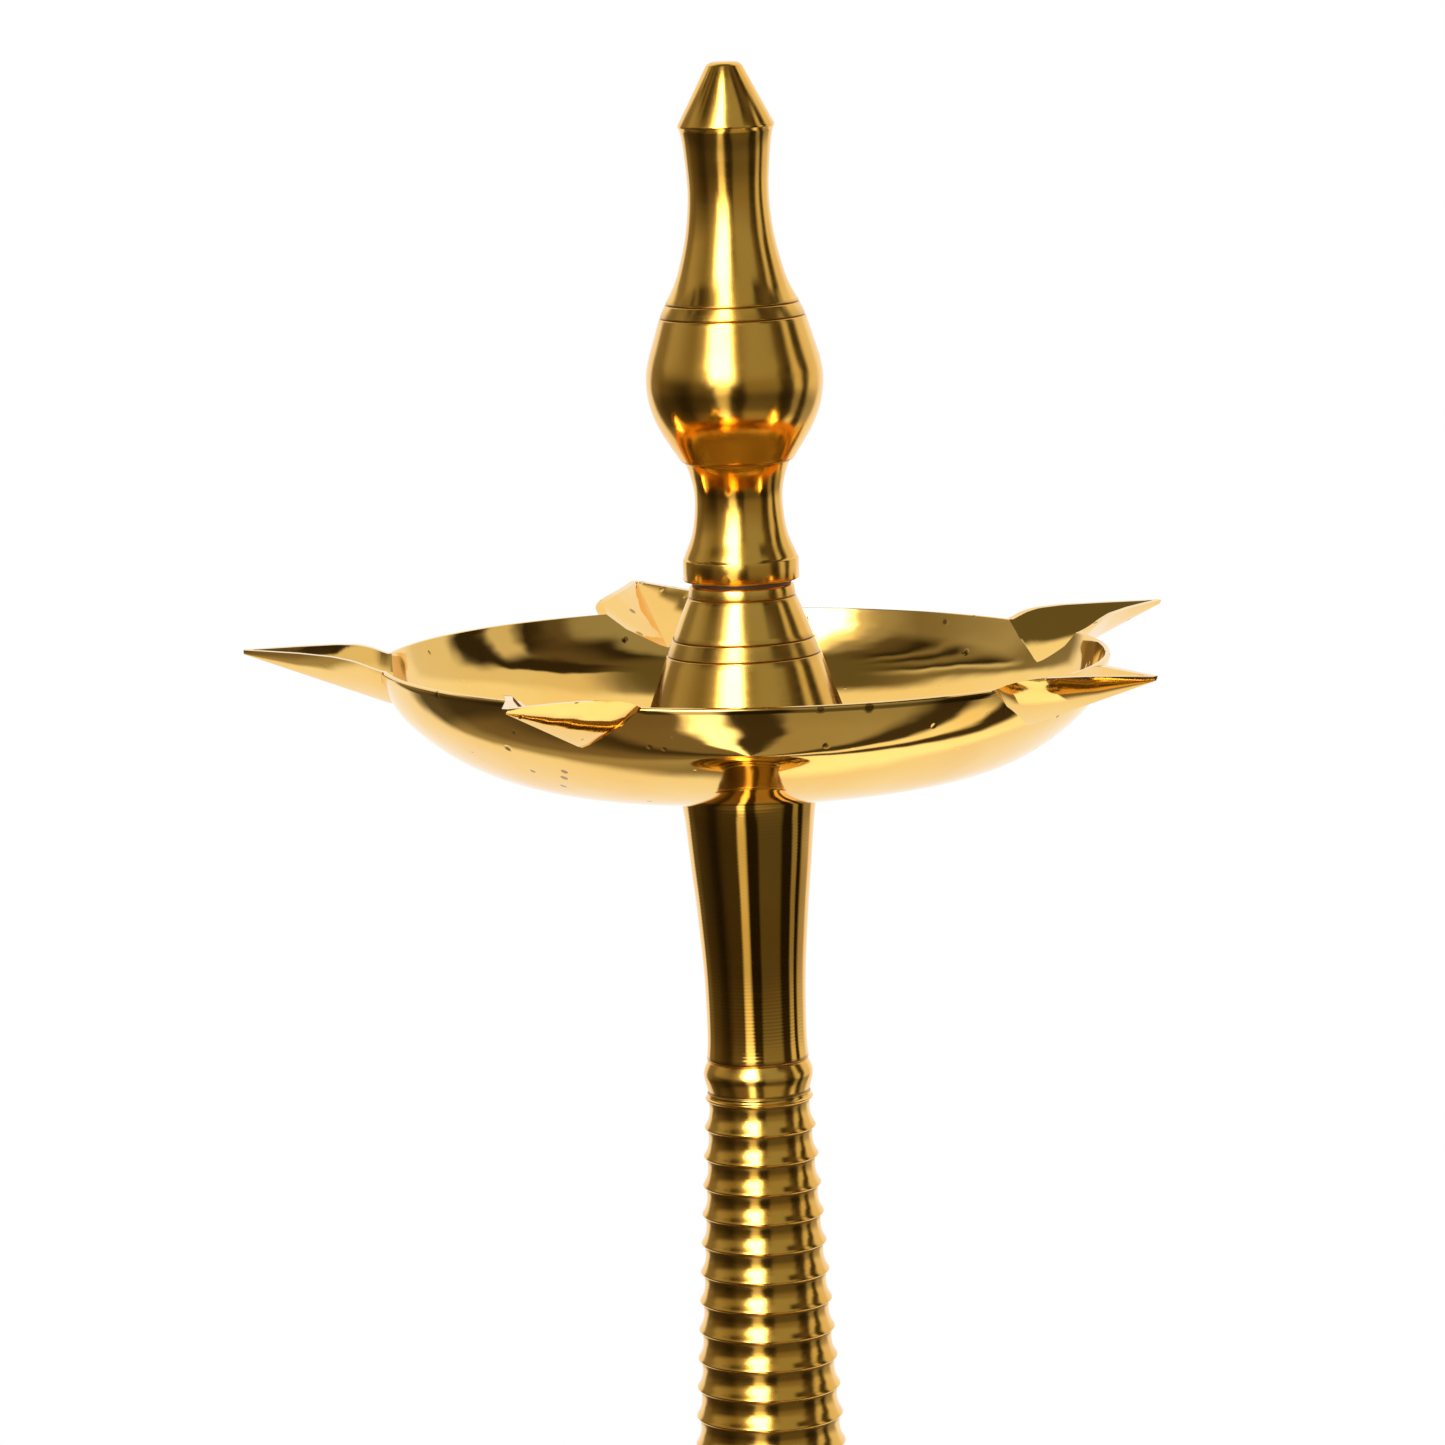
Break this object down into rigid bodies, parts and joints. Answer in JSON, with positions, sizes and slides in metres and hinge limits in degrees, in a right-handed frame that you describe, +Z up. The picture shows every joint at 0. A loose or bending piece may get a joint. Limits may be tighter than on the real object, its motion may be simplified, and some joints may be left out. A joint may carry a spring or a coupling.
{
  "type": "standing oil lamp",
  "caption": "Tall turned brass oil lamp: five-spouted shallow pan on a ribbed tapering stem and stepped round foot, bulb finial on top.",
  "frame": {"origin": "centre of the foot's underside, on the lamp's axis", "axes": "+Z up the stem to the finial's tip; one wick spout points along -X, and the picture was taken from -Y"},
  "size_m": [0.3367, 0.3369, 0.9144],
  "materials": {
    "turned_brass": "turned and polished",
    "cast_brass": "cast, filed and polished, a few pits",
    "stud_brass": "as drawn",
    "steel": "plain",
    "leather": "oiled dark"
  },
  "bodies": {
    "base": {"base_bell": "turned_brass", "base_stud": "stud_brass", "lower_stem": "turned_brass"},
    "nut_washer": {"base_washer": "steel"},
    "nut": {"base_nut": "steel"},
    "ribbed_joint": {"ribbed_stud": "stud_brass"},
    "ribbed": {"ribbed_stem": "turned_brass"},
    "upper_joint": {"upper_stud": "stud_brass"},
    "upper": {"upper_stem": "turned_brass", "pan_washer": "leather"},
    "pan": {"oil_pan": "cast_brass", "cone_gasket": "leather"},
    "pan_joint": {"pan_stud": "stud_brass"},
    "cone": {"pan_cone": "turned_brass", "finial_washer": "leather"},
    "finial_joint": {"finial_stud": "stud_brass"},
    "neck": {"finial_neck": "turned_brass"},
    "bottle_joint": {"bottle_stud": "stud_brass"},
    "bottle": {"finial_bottle": "turned_brass"}
  },
  "joints": [
    {"name": "base_nut_drop", "type": "slide", "parent": "base", "child": "nut_washer", "axis": [0, 0, -1], "range_m": [0, 0.0225]},
    {"name": "base_nut_turn", "type": "hinge", "parent": "nut_washer", "child": "nut", "pos_m": [0, 0, 0.141], "axis": [0, 0, -1], "range_deg": [0, 3240]},
    {"name": "ribbed_stem_climb", "type": "slide", "parent": "base", "child": "ribbed_joint", "axis": [0, 0, 1], "range_m": [0, 0.02]},
    {"name": "ribbed_stem_turn", "type": "hinge", "parent": "ribbed_joint", "child": "ribbed", "pos_m": [0, 0, 0.3], "axis": [0, 0, 1], "range_deg": [0, 2880]},
    {"name": "upper_stem_climb", "type": "slide", "parent": "ribbed", "child": "upper_joint", "axis": [0, 0, 1], "range_m": [0, 0.02]},
    {"name": "upper_stem_turn", "type": "hinge", "parent": "upper_joint", "child": "upper", "pos_m": [0, 0, 0.553], "axis": [0, 0, 1], "range_deg": [0, 2880]},
    {"name": "pan_swivel", "type": "hinge", "parent": "upper", "child": "pan", "pos_m": [0, 0, 0.6545], "axis": [0, 0, 1], "continuous": true},
    {"name": "cone_climb", "type": "slide", "parent": "upper", "child": "pan_joint", "axis": [0, 0, 1], "range_m": [0, 0.02]},
    {"name": "cone_turn", "type": "hinge", "parent": "pan_joint", "child": "cone", "pos_m": [0, 0, 0.6545], "axis": [0, 0, 1], "range_deg": [0, 2880]},
    {"name": "finial_climb", "type": "slide", "parent": "cone", "child": "finial_joint", "axis": [0, 0, 1], "range_m": [0, 0.015]},
    {"name": "finial_turn", "type": "hinge", "parent": "finial_joint", "child": "neck", "pos_m": [0, 0, 0.7287], "axis": [0, 0, 1], "range_deg": [0, 2160]},
    {"name": "bottle_climb", "type": "slide", "parent": "neck", "child": "bottle_joint", "axis": [0, 0, 1], "range_m": [0, 0.015]},
    {"name": "bottle_turn", "type": "hinge", "parent": "bottle_joint", "child": "bottle", "pos_m": [0, 0, 0.7694], "axis": [0, 0, 1], "range_deg": [0, 2160]}
  ],
  "couplings": [
    {"joint": "base_nut_turn", "follows": "base_nut_drop", "rad_per_m": 2513.3},
    {"joint": "ribbed_stem_turn", "follows": "ribbed_stem_climb", "rad_per_m": 2513.3},
    {"joint": "upper_stem_turn", "follows": "upper_stem_climb", "rad_per_m": 2513.3},
    {"joint": "cone_turn", "follows": "cone_climb", "rad_per_m": 2513.3},
    {"joint": "finial_turn", "follows": "finial_climb", "rad_per_m": 2513.3},
    {"joint": "bottle_turn", "follows": "bottle_climb", "rad_per_m": 2513.3}
  ]
}
